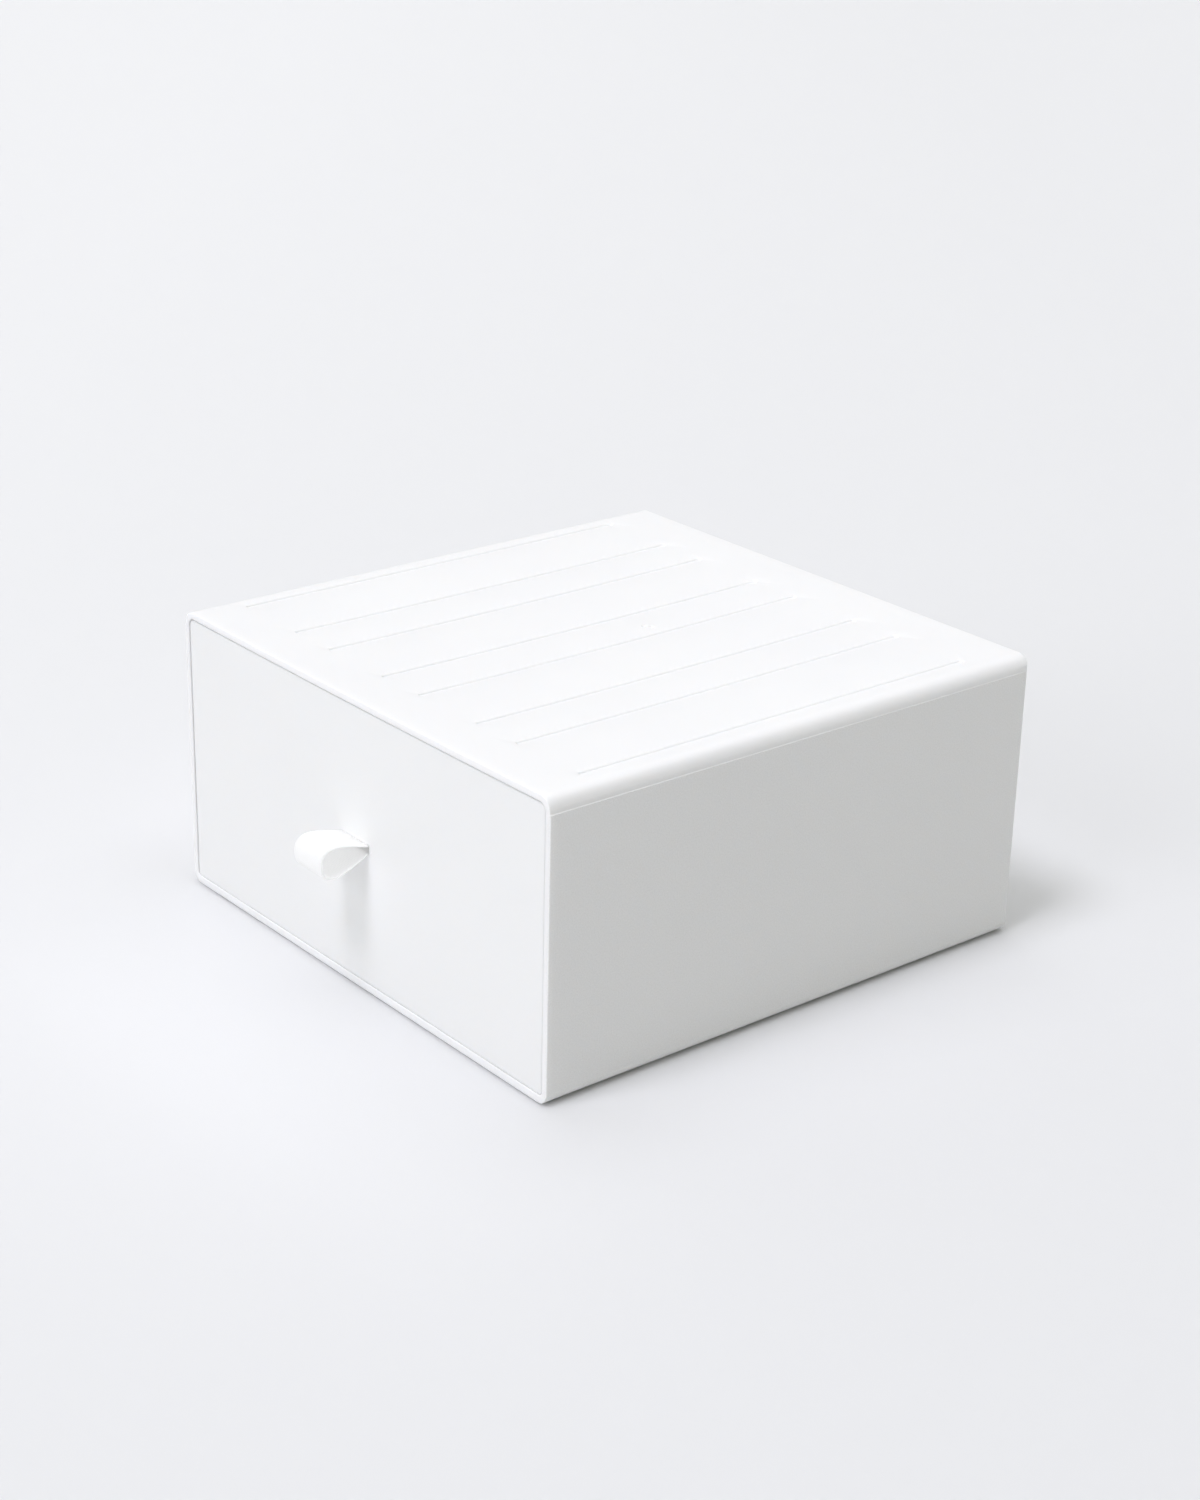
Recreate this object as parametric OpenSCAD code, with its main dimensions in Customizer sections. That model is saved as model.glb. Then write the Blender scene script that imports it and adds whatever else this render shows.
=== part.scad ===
// A stackable drawer box: a moulded sleeve, the drawer that slides in it, a ribbon pull and its pin.
// The front faces -Y. Z = 0 is the plane that the box stands on, under the middle of the casing.

/* [Casing] */
// Outside width of the casing
case_width = 200; // [150:1:300]
// Outside depth of the casing, from front to back
case_depth = 200; // [150:1:300]
// Height of the casing without its rails, which is also the stacking step
case_height = 100; // [70:1:200]
// Wall thickness of the casing
case_wall = 2.3; // [1.6:0.1:2.6]
// Outside radius of the two long top edges
top_edge_r = 5; // [4:0.1:8]
// Outside radius of the two long bottom edges
bottom_edge_r = 4; // [4:0.1:8]
// Outside radius of the two upright edges at the back
back_edge_r = 1.5; // [0.6:0.1:3]
// Rounding of the top and bottom edges of the back
back_face_r = 0.4; // [0.2:0.1:0.5]
// Rounding of the outer edge of the mouth's rim
rim_outer_r = 0.3; // [0.2:0.1:0.8]
// Rounding of the inner edge of the mouth's rim
rim_inner_r = 0.3; // [0.1:0.1:0.6]

/* [Stacking grooves and rails] */
// Width of one stacking module, which holds one pair of grooves
stack_module = 50; // [40:1:60]
// Distance between the two grooves of a pair
groove_spacing = 30; // [20:1:34]
// Width of a groove at the top face
groove_width = 2.4; // [2:0.1:4]
// Depth of a groove
groove_depth = 0.6; // [0.5:0.1:1.2]
// How much each side of a groove leans in on its way down
groove_taper = 0.3; // [0.1:0.05:0.5]
// Distance from the front of the casing to the grooves
groove_front_inset = 18.5; // [12:0.5:40]
// Distance from the back of the casing to the grooves
groove_back_inset = 21.5; // [12:0.5:40]
// Clearance between the sides of a rail and the groove that it stands in
rail_side_gap = 0.3; // [0.1:0.05:0.5]
// Clearance between the tip of a rail and the floor of its groove
rail_tip_gap = 0.1; // [0.1:0.05:0.3]

/* [Gate marks] */
// Diameter of the small dimple that each gate leaves
gate_mark_d = 1.8; // [1:0.1:3]
// Depth of that dimple
gate_mark_depth = 0.3; // [0.1:0.05:0.5]
// Place of the first gate mark, from the middle of the top
gate_mark_a = [1.2, 17.5];
// Place of the second gate mark, from the middle of the top
gate_mark_b = [3.3, 19];

/* [Drawer] */
// Gap between each side of the drawer's front and the casing
front_side_gap = 0.5; // [0.3:0.1:1]
// Gap above the drawer's front
front_top_gap = 0.8; // [0.3:0.1:1.5]
// Gap below the drawer's front
front_floor_gap = 0.2; // [0.15:0.05:0.5]
// How far the face of the drawer sits behind the rim
front_recess = 0.8; // [0:0.1:2]
// Thickness of the drawer's front
front_wall = 2.5; // [2:0.1:4]
// Rounding of the edge of the drawer's face
front_edge_r = 0.5; // [0.2:0.1:0.8]
// Thickness of the tray's walls
tray_wall = 1.8; // [1.4:0.1:2.6]
// Thickness of the tray's floor
tray_floor = 1.8; // [1.4:0.1:2.6]
// Draft angle of the tray's walls
tray_draft = 0.7; // [0.3:0.1:1.2]
// Outside radius of the tray's floor edges and rear corners
tray_corner_r = 4; // [3:0.1:8]
// Gap between the tray's rim and the side walls of the casing
tray_side_gap = 2; // [1:0.1:4]
// Gap between the closed tray and the back of the casing
tray_back_gap = 0.5; // [0.3:0.1:2]
// How far the tray's rim lies below the top edge of the drawer's front
rim_drop = 4; // [3:0.1:12]
// Width of the two runners under the tray
runner_width = 3; // [2:0.1:6]
// Height of the runners
runner_height = 1.8; // [1:0.1:3]
// Distance of each runner from the side of the casing
runner_inset = 30; // [15:1:60]
// Running gap under the runners
running_gap = 0.2; // [0.15:0.05:0.5]

/* [Stops] */
// How far the drawer pulls out before its teeth meet the casing's stop ribs
stop_travel = 150; // [60:1:150]
// Distance from the mouth to the rear face of the stop ribs
stop_setback = 10; // [8:0.5:20]
// How far the stop ribs hang down from the casing's top wall
stop_rib_depth = 2.5; // [2:0.1:3]
// Width of each stop rib
stop_rib_width = 12; // [6:0.5:20]
// Gap between a stop tooth and the casing's top wall
stop_tooth_gap = 0.6; // [0.4:0.1:0.8]
// Length of the flat tip of a stop rib or tooth
stop_tip = 1.2; // [0.8:0.1:3]

/* [Pull loop] */
// Width of the ribbon
ribbon_width = 15; // [8:0.5:25]
// Thickness of the ribbon
ribbon_thickness = 0.7; // [0.4:0.1:1]
// How far the loop stands out from the drawer's face
loop_reach = 18.5; // [12:0.5:30]
// Height of the loop's top above the middle of its slot
loop_rise = 4.5; // [3:0.1:8]
// Depth of the loop's underside below the middle of its slot
loop_drop = 6.6; // [3:0.1:8]
// Height of the slot in the drawer's front
slot_height = 3.4; // [2.2:0.1:4]
// Gap between the ribbon and each end of the slot
slot_end_gap = 0.5; // [0.3:0.1:1]
// Radius of the slot's corners
slot_corner_r = 0.4; // [0.1:0.05:0.6]
// Gap between the ribbon and the lips of the slot
slot_lip_gap = 0.05; // [0.02:0.01:0.1]

/* [Loop pin] */
// Diameter of the pin that holds the ribbon behind the drawer's front
pin_d = 2.4; // [2:0.1:4]
// Length of the pin
pin_length = 24; // [18:0.5:36]
// Distance from the back of the drawer's front to the middle of the pin
pin_setback = 2.8; // [2.6:0.1:5]
// Gap between the pin and the ribbon, and between the pin and its saddles
pin_gap = 0.1; // [0.05:0.05:0.2]
// Chamfer on the ends of the pin
pin_chamfer = 0.3; // [0.1:0.1:0.6]
// Width of each saddle that the pin snaps into
saddle_width = 3; // [2:0.1:4]
// Thickness of a saddle above and below the pin
saddle_wall = 1.2; // [0.8:0.1:2]
// How far a saddle reaches past the middle of the pin, to hold it
saddle_grip = 0.5; // [0.2:0.1:0.6]
// Gap between the ribbon and each saddle
saddle_side_gap = 0.8; // [0.6:0.1:1.5]

/* [Hidden] */
$fn = 48;

// How far a cutting shape passes through the surface that it cuts, and an added rib roots in its wall
cut = 1;
root = 0.8;
// Smallest corner radius that is left where a wall or a gap takes up the rest
least_r = 0.2;
// Steps along each curved stretch of the ribbon
ribbon_steps = 10;

// Levels and planes of the casing
rail_height = groove_depth - rail_tip_gap;
case_top = rail_height + case_height;
mouth_y = -case_depth / 2;
back_y = case_depth / 2;
cavity_width = case_width - 2 * case_wall;
cavity_height = case_height - 2 * case_wall;
cavity_floor = rail_height + case_wall;
cavity_top = cavity_floor + cavity_height;
cavity_back = back_y - case_wall;
cavity_top_r = top_edge_r - case_wall;
cavity_bottom_r = bottom_edge_r - case_wall;

// Grooves, and the rails that stand in the grooves of the box below
module_count = floor((case_width - 2 * top_edge_r - groove_width - groove_spacing) / stack_module) + 1;
groove_length = case_depth - groove_front_inset - groove_back_inset;
groove_y = (groove_front_inset - groove_back_inset) / 2;
groove_xs = [
    for (i = [0:module_count - 1], side = [-1, 1])
        (i - (module_count - 1) / 2) * stack_module + side * groove_spacing / 2
];
taper_per_mm = groove_taper / groove_depth;
rail_width = groove_width - 2 * rail_side_gap;
rail_length = groove_length - 2 * rail_side_gap;
rail_taper = min(taper_per_mm * rail_height, 0.4 * rail_width);

// The drawer's front
front_width = cavity_width - 2 * front_side_gap;
front_height = cavity_height - front_top_gap - front_floor_gap;
front_bottom = cavity_floor + front_floor_gap;
front_top_r = max(cavity_top_r - front_side_gap, front_edge_r + least_r);
front_bottom_r = max(cavity_bottom_r - front_side_gap, front_edge_r + least_r);
face_y = mouth_y + front_recess;
front_back = face_y + front_wall;

// The tray
tray_bottom = cavity_floor + running_gap + runner_height;
rim_z = front_bottom + front_height - rim_drop;
tray_height = rim_z - tray_bottom;
tray_width = cavity_width - 2 * tray_side_gap;
tray_back = cavity_back - tray_back_gap;
inner_width = tray_width - 2 * tray_wall;
inner_height = tray_height - tray_floor;
inner_back = tray_back - tray_wall;
inner_length = inner_back - front_back;
inner_r = max(tray_corner_r - tray_wall, least_r);
runner_x = case_width / 2 - runner_inset;
runner_taper = 0.3;
runner_end_gap = 6;

// Stops
stop_y = mouth_y + stop_setback;
tooth_y = stop_y + stop_travel;
tooth_height = cavity_top - stop_tooth_gap - rim_z;
stop_ramp = 1.4;
stop_x = tray_width / 2 - tray_wall / 2;

// The ribbon, its slot and its pin, in the middle of the drawer's front
loop_z = rail_height + case_height / 2;
slot_width = ribbon_width + 2 * slot_end_gap;
strand_z = slot_height / 2 - slot_lip_gap - ribbon_thickness / 2;
front_depth_at_loop = front_wall + (rim_z - loop_z) * tan(tray_draft);
pin_y = front_depth_at_loop + pin_setback;
ring_r = pin_d / 2 + pin_gap + ribbon_thickness / 2;
saddle_x = ribbon_width / 2 + saddle_side_gap + saddle_width / 2;
saddle_height = pin_d + 2 * (pin_gap + saddle_wall);

// ---- Outlines ----

// Outline of a sleeve seen from the front, with its own radii at the top and at the bottom
module sleeve_outline(width, height, top_r, bottom_r) {
    half = width / 2;
    polygon([
        [bottom_r - half, 0], [half - bottom_r, 0], [half, bottom_r], [half, height - top_r],
        [half - top_r, height], [top_r - half, height], [-half, height - top_r], [-half, bottom_r]
    ]);
    for (side = [-1, 1]) {
        translate([side * (half - bottom_r), bottom_r]) circle(r = bottom_r);
        translate([side * (half - top_r), height - top_r]) circle(r = top_r);
    }
}

// Cross-section of a tub whose sides lean out by the draft angle, with rounded floor edges
module tub_outline(rim_width, height, r) {
    half = rim_width / 2;
    foot = half - height * tan(tray_draft);
    reach = r / tan((90 + tray_draft) / 2);
    side_x = foot + reach * sin(tray_draft);
    side_z = reach * cos(tray_draft);
    polygon([
        [reach - foot, 0], [foot - reach, 0], [side_x, side_z], [half, height],
        [-half, height], [-side_x, side_z]
    ]);
    for (side = [-1, 1])
        translate([side * (foot - reach), r]) circle(r = r);
}

// The corner that a rounding takes off, for an edge at the origin whose solid lies at -X and -Y
module outer_round(r) {
    difference() {
        translate([-r, -r]) square(r + cut);
        translate([-r, -r]) circle(r = r);
    }
}

// The same for an edge whose solid lies at +X and -Y
module inner_round(r) {
    difference() {
        translate([-least_r / 2, -r]) square([r + least_r / 2, r + cut]);
        translate([r, -r]) circle(r = r);
    }
}

// ---- Placing and sweeping ----

// Extrudes an outline seen from the front between two Y planes
module along_y(from_y, to_y) {
    translate([0, to_y, 0]) rotate([90, 0, 0]) linear_extrude(height = to_y - from_y) children();
}

// Extrudes an outline seen from the side, drawn as [y, z], to a width centred on x
module along_x(x, width) {
    translate([x - width / 2, 0, 0]) rotate([90, 0, 90]) linear_extrude(height = width) children();
}

// One straight run of a sweep: the section's X points outwards and its Y along the sweep's axis
module straight_run(start, turn, length) {
    translate([start[0], start[1], 0]) rotate([0, 0, turn]) rotate([90, 0, 0])
        linear_extrude(height = length) children();
}

// One corner of a sweep
module corner_run(centre, turn, r) {
    translate([centre[0], centre[1], 0]) rotate([0, 0, turn])
        rotate_extrude(angle = 90) translate([r, 0]) children();
}

// Sweeps a small section round the outline of a sleeve, in the XY plane
module around_outline(width, height, top_r, bottom_r) {
    half = width / 2;
    straight_run([half, height - top_r], 0, height - top_r - bottom_r) children();
    straight_run([top_r - half, height], 90, width - 2 * top_r) children();
    straight_run([-half, bottom_r], 180, height - top_r - bottom_r) children();
    straight_run([half - bottom_r, 0], 270, width - 2 * bottom_r) children();
    corner_run([half - top_r, height - top_r], 0, top_r) children();
    corner_run([top_r - half, height - top_r], 90, top_r) children();
    corner_run([bottom_r - half, bottom_r], 180, bottom_r) children();
    corner_run([half - bottom_r, bottom_r], 270, bottom_r) children();
}

// Turns a sweep upright, with the section's -Y pointing to the back of the box
module facing_front(y, z) {
    translate([0, y, z]) rotate([90, 0, 0]) children();
}

// Turns a sweep upright, with the section's -Y pointing to the front of the box
module facing_back(y, z) {
    translate([0, y, z]) mirror([0, 1, 0]) rotate([90, 0, 0]) children();
}

// A straight bar with round ends that gets narrower downwards from its top plane at Z = 0
module drafted_bar(length, width, depth, taper, above) {
    top_half = width / 2 + taper * above / depth;
    tip_half = width / 2 - taper;
    run = length - width;
    along_y(-run / 2, run / 2)
        polygon([[-tip_half, -depth], [tip_half, -depth], [top_half, above], [-top_half, above]]);
    for (end = [-1, 1])
        translate([0, end * run / 2, -depth])
            cylinder(h = depth + above, r1 = tip_half, r2 = top_half);
}

// ---- Casing ----

// The outside of the sleeve with all its edges rounded
module casing_block() {
    difference() {
        translate([0, 0, rail_height]) along_y(mouth_y, back_y)
            sleeve_outline(case_width, case_height, top_edge_r, bottom_edge_r);
        facing_front(mouth_y, rail_height)
            around_outline(case_width, case_height, top_edge_r, bottom_edge_r) outer_round(rim_outer_r);
        facing_back(back_y, rail_height)
            around_outline(case_width, case_height, top_edge_r, bottom_edge_r) outer_round(back_face_r);
        for (side = [0, 1])
            mirror([side, 0, 0]) translate([case_width / 2, back_y, 0])
                linear_extrude(height = case_top + cut) outer_round(back_edge_r);
    }
}

// The hollow of the sleeve, open at the mouth
module casing_cavity() {
    translate([0, 0, cavity_floor]) {
        along_y(mouth_y - cut, cavity_back)
            sleeve_outline(cavity_width, cavity_height, cavity_top_r, cavity_bottom_r);
        facing_front(mouth_y, 0)
            around_outline(cavity_width, cavity_height, cavity_top_r, cavity_bottom_r)
                inner_round(rim_inner_r);
    }
}

// Two ribs under the top wall that the drawer's teeth come up against
module stop_ribs() {
    foot = stop_tip + stop_ramp * stop_rib_depth;
    for (side = [-1, 1])
        translate([0, stop_y, cavity_top])
            along_x(side * (stop_x - stop_rib_width / 2 + tray_wall / 2), stop_rib_width)
                polygon([
                    [0, root], [0, -stop_rib_depth], [-stop_tip, -stop_rib_depth], [-foot, 0], [-foot, root]
                ]);
}

// A shallow round dimple at the top face
module gate_mark(place) {
    ball_r = (pow(gate_mark_d / 2, 2) + pow(gate_mark_depth, 2)) / (2 * gate_mark_depth);
    translate([place[0], place[1], case_top + ball_r - gate_mark_depth]) sphere(r = ball_r);
}

module casing() {
    color("white") {
        difference() {
            casing_block();
            casing_cavity();
            for (x = groove_xs)
                translate([x, groove_y, case_top])
                    drafted_bar(groove_length, groove_width, groove_depth, groove_taper, cut);
            gate_mark(gate_mark_a);
            gate_mark(gate_mark_b);
        }
        for (x = groove_xs)
            translate([x, groove_y, rail_height])
                drafted_bar(rail_length, rail_width, rail_height, rail_taper, root);
        stop_ribs();
    }
}

// ---- Drawer ----

// The full-height front with its rounded face edge
module drawer_front() {
    difference() {
        translate([0, 0, front_bottom]) along_y(face_y, front_back)
            sleeve_outline(front_width, front_height, front_top_r, front_bottom_r);
        facing_front(face_y, front_bottom)
            around_outline(front_width, front_height, front_top_r, front_bottom_r)
                outer_round(front_edge_r);
    }
}

// The outside of the tray, which roots in the front
module tray_block() {
    length = tray_back - face_y;
    intersection() {
        translate([0, 0, tray_bottom]) along_y(front_back - root, back_y)
            tub_outline(tray_width, tray_height, tray_corner_r);
        translate([0, (tray_back + face_y) / 2, tray_bottom]) along_x(0, case_width)
            tub_outline(length, tray_height, tray_corner_r);
        linear_extrude(height = case_height) rear_cornered_plan(tray_width, tray_back, tray_corner_r);
    }
}

// The inside of the tray, open at the rim
module tray_hollow() {
    floor_z = tray_bottom + tray_floor;
    intersection() {
        translate([0, 0, floor_z]) along_y(face_y, back_y)
            tub_outline(inner_width + 2 * cut * tan(tray_draft), inner_height + cut, inner_r);
        translate([0, (front_back + inner_back) / 2, floor_z]) along_x(0, case_width)
            tub_outline(inner_length + 2 * cut * tan(tray_draft), inner_height + cut, inner_r);
        linear_extrude(height = case_height) rear_cornered_plan(inner_width, inner_back, inner_r);
    }
}

// Plan of the tray, square in front and round at its two rear corners
module rear_cornered_plan(width, rear_y, r) {
    half = width / 2;
    over = half + cut;
    polygon([
        [-over, mouth_y], [over, mouth_y], [over, rear_y - r], [half - r, rear_y - r],
        [half - r, rear_y + cut], [r - half, rear_y + cut], [r - half, rear_y - r], [-over, rear_y - r]
    ]);
    for (side = [-1, 1])
        translate([side * (half - r), rear_y - r]) circle(r = r);
}

// A tooth on each side of the rim that meets the casing's stop rib
module stop_teeth() {
    foot = stop_tip + stop_ramp * tooth_height;
    for (side = [-1, 1])
        translate([0, tooth_y, rim_z]) along_x(side * stop_x, tray_wall)
            polygon([[0, -root], [0, tooth_height], [stop_tip, tooth_height], [foot, 0], [foot, -root]]);
}

// Two saddles on the back of the front, with round seats that the loop's pin snaps into
module pin_saddles() {
    for (side = [-1, 1])
        difference() {
            translate([side * saddle_x - saddle_width / 2, front_back - root, loop_z - saddle_height / 2])
                cube([saddle_width, face_y + pin_y + saddle_grip - front_back + root, saddle_height]);
            translate([side * saddle_x, face_y + pin_y, loop_z]) rotate([0, 90, 0])
                cylinder(h = saddle_width + cut, r = pin_d / 2 + pin_gap, center = true);
        }
}

// The slot in the front that the ribbon passes through
module ribbon_slot() {
    r = min(slot_corner_r, slot_end_gap);
    translate([0, 0, loop_z - slot_height / 2]) along_y(face_y - cut, front_back + pin_setback)
        sleeve_outline(slot_width, slot_height, r, r);
}

module drawer() {
    color("whitesmoke") {
        difference() {
            union() {
                drawer_front();
                difference() {
                    tray_block();
                    tray_hollow();
                }
            }
            ribbon_slot();
        }
        for (side = [-1, 1])
            translate([side * runner_x, (front_back + tray_back) / 2, tray_bottom])
                drafted_bar(tray_back - front_back - 2 * runner_end_gap, runner_width, runner_height,
                            runner_taper, root);
        stop_teeth();
        pin_saddles();
    }
}

// ---- Ribbon loop and its pin ----

// A point of the cubic curve with the handles b and c, and a run of such points without its last one
function curve_point(a, b, c, d, t) =
    pow(1 - t, 3) * a + 3 * pow(1 - t, 2) * t * b + 3 * (1 - t) * t * t * c + t * t * t * d;
function curve(a, b, c, d) =
    [for (i = [0:ribbon_steps - 1]) curve_point(a, b, c, d, i / ribbon_steps)];

// The middle line of the ribbon as one closed ring, from the side, as [y, z] from the slot's middle
function ribbon_line() =
    let (
        reach = loop_reach - ribbon_thickness / 2,
        rise = loop_rise - ribbon_thickness / 2,
        drop = loop_drop - ribbon_thickness / 2,
        crest = [-0.7 * reach, rise],
        nose = [-reach, -0.03 * reach],
        belly = [-0.72 * reach, -drop],
        inside = front_depth_at_loop
    )
    concat(
        curve([0, strand_z], [-0.26 * reach, 0.63 * rise], [-0.5 * reach, rise], crest),
        curve(crest, [-0.91 * reach, rise], [-reach, 0.6 * rise], nose),
        curve(nose, [-1.005 * reach, -0.62 * drop], [-0.93 * reach, -drop], belly),
        curve(belly, [-0.55 * reach, -drop], [-0.2 * reach, -0.45 * drop], [0, -strand_z]),
        [[0, -strand_z], [inside / 2, -strand_z]],
        curve([inside, -strand_z], [inside + 0.5 * pin_setback, -strand_z],
              [pin_y - 0.4 * pin_setback, -ring_r], [pin_y, -ring_r]),
        [for (i = [0:ribbon_steps - 1]) let (a = 180 * i / ribbon_steps - 90)
            [pin_y + ring_r * cos(a), ring_r * sin(a)]],
        curve([pin_y, ring_r], [pin_y - 0.4 * pin_setback, ring_r],
              [inside + 0.5 * pin_setback, strand_z], [inside, strand_z]),
        [[inside, strand_z], [inside / 2, strand_z]]
    );

// A closed line moved sideways by a distance, square to its own direction at each point
function moved_sideways(line, by) =
    let (n = len(line))
    [for (i = [0:n - 1])
        let (along = line[(i + 1) % n] - line[(i + n - 1) % n])
        line[i] + by * [-along[1], along[0]] / norm(along)];

module pull_loop() {
    line = ribbon_line();
    color("white") translate([0, face_y, loop_z]) along_x(0, ribbon_width)
        difference() {
            polygon(moved_sideways(line, -ribbon_thickness / 2));
            polygon(moved_sideways(line, ribbon_thickness / 2));
        }
}

module loop_pin() {
    body = pin_length - 2 * pin_chamfer;
    tip_r = pin_d / 2 - pin_chamfer;
    color("gainsboro") translate([0, face_y + pin_y, loop_z]) rotate([0, 90, 0]) {
        cylinder(h = body, r = pin_d / 2, center = true);
        translate([0, 0, body / 2]) cylinder(h = pin_chamfer, r1 = pin_d / 2, r2 = tip_r);
        translate([0, 0, -body / 2 - pin_chamfer]) cylinder(h = pin_chamfer, r1 = tip_r, r2 = pin_d / 2);
    }
}

casing();
drawer();
pull_loop();
loop_pin();
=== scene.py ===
import math

import bmesh
import bpy
from bpy.props import FloatProperty, FloatVectorProperty, PointerProperty
from mathutils import Matrix, Vector


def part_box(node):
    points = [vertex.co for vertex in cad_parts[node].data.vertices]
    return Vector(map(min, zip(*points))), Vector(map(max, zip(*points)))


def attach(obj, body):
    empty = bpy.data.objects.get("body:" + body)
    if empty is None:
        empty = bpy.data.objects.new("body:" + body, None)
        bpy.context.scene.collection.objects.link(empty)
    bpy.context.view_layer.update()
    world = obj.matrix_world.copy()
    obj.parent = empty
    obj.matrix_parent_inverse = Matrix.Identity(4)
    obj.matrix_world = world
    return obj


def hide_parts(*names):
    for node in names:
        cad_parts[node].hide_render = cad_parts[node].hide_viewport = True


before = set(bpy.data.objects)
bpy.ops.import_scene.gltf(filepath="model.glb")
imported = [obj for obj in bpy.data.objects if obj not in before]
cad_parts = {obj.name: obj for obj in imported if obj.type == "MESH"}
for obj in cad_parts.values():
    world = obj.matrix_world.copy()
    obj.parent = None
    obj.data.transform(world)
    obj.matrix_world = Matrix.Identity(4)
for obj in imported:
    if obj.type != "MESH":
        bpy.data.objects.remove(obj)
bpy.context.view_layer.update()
casing_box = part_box("casing")
drawer_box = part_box("drawer")
loop_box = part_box("pull_loop")
pin_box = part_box("loop_pin")

bl_info = {
    "name": "Stackable Drawer Box",
    "version": (1, 0, 0),
    "blender": (4, 5, 0),
    "location": "View3D > Sidebar > Drawer Box",
    "description": "Dresses a moulded drawer box with its sunken top, plastics and ribbon pull",
    "category": "Add Mesh",
}

MM = 0.001

# Slack in comparing places
SLACK = 0.01 * MM

# The casing's height without its rails, and its wall
CASING_HEIGHT = 100 * MM
CASING_WALL = 2.3 * MM

# The two gate marks: their places on the top, and the radius and depth that hold all of a mark
MARK_PLACES = ((1.2 * MM, 17.5 * MM), (3.3 * MM, 19 * MM))
MARK_REACH = 1 * MM
MARK_DEPTH = 0.5 * MM

# How far apart the cuts lie that let the casing's top and the drawer's face bend
TOP_CUT = 10 * MM
FACE_CUT = 16 * MM

# The outer skin of the sides that the mould seam cuts, the height of the strip in which they step
# in, and the part of the wall that steps in with them
SIDE_SKIN = 1.6 * MM
SEAM_STRIP = 0.02 * MM
LEDGE_BAND = 2 * MM

# The drawer's face: its depth, the bands along its left and bottom edges, and how far below its
# top the rise starts
FACE_BAND = 2 * MM
EDGE_BAND = 1.5 * MM
RISE_BAND = 8 * MM

# How far the pin stands behind the drawer's wall, and its gap inside the ribbon's ring
PIN_SETBACK = 2.8 * MM
PIN_GAP = 0.1 * MM

# The colour sockets of a Mix node, which share their names with its number sockets
MIX_FIRST, MIX_SECOND, MIX_RESULT = 6, 7, 2


# ---- Sizes and colours ----


class CasingSettings(bpy.types.PropertyGroup):
    """The moulded sleeve"""

    front_sag: FloatProperty(
        name="Front sag",
        description="How far the middle of the top has sunk at the mouth",
        default=0.43 * MM, min=0.0, max=2 * MM, unit="LENGTH", precision=5,
    )
    middle_sag: FloatProperty(
        name="Middle sag",
        description="How much further the middle of the top has sunk half way back",
        default=0.95 * MM, min=0.0, max=3 * MM, unit="LENGTH", precision=5,
    )
    sag_margin: FloatProperty(
        name="Sag margin",
        description="Width along each long edge that has stayed at its height",
        default=5 * MM, min=5 * MM, max=20 * MM, unit="LENGTH", precision=5,
    )
    base_drop: FloatProperty(
        name="Base drop",
        description="How much thicker the wall under the drawer is than the other walls",
        default=0.4 * MM, min=0.0, max=0.45 * MM, unit="LENGTH", precision=5,
    )
    seam_drop: FloatProperty(
        name="Seam drop",
        description="Height of the mould seam below the top",
        default=5.2 * MM, min=5.1 * MM, max=20 * MM, unit="LENGTH", precision=5,
    )
    seam_ledge: FloatProperty(
        name="Seam ledge",
        description="How far the sides step in above the mould seam",
        default=0.25 * MM, min=0.0, max=0.5 * MM, unit="LENGTH", precision=5,
    )
    ledge_fade: FloatProperty(
        name="Ledge fade",
        description="Share of the seam ledge that is lost towards the back",
        default=0.7, min=0.0, max=1.0,
    )
    groove_round: FloatProperty(
        name="Groove rounding",
        description="Width of the soft rounding along the top edges of the grooves",
        default=0.35 * MM, min=0.05 * MM, max=0.8 * MM, unit="LENGTH", precision=5,
    )
    mark_stretch: FloatProperty(
        name="Mark stretch",
        description="How much deeper the two small gate marks are than on the plain casing",
        default=3.0, min=1.0, max=4.0,
    )
    colour: FloatVectorProperty(
        name="Colour",
        description="Colour of the casing's plastic",
        default=(0.914, 0.912, 0.927), min=0.0, max=1.0, size=3, subtype="COLOR",
    )
    # Painted shade and painted warm reflection on the grained sides below the seam, as a share of
    # the colour
    painted_side_shade: FloatVectorProperty(
        name="Side tone",
        description="Tone of the grained sides, as a share of the colour",
        default=(0.985, 0.983, 0.975), min=0.0, max=1.0, size=3, subtype="COLOR",
    )
    glow: FloatProperty(
        name="Glow",
        description="How far light spreads inside the plastic",
        default=1.5 * MM, min=0.0, max=10 * MM, unit="LENGTH", precision=5,
    )
    grain_size: FloatProperty(
        name="Grain size",
        description="Size of the grains on the sides",
        default=0.5 * MM, min=0.1 * MM, max=2 * MM, unit="LENGTH", precision=5,
    )
    grain_depth: FloatProperty(
        name="Grain depth",
        description="Depth of the grain on the sides",
        default=0.06 * MM, min=0.0, max=0.2 * MM, unit="LENGTH", precision=5,
    )


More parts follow.
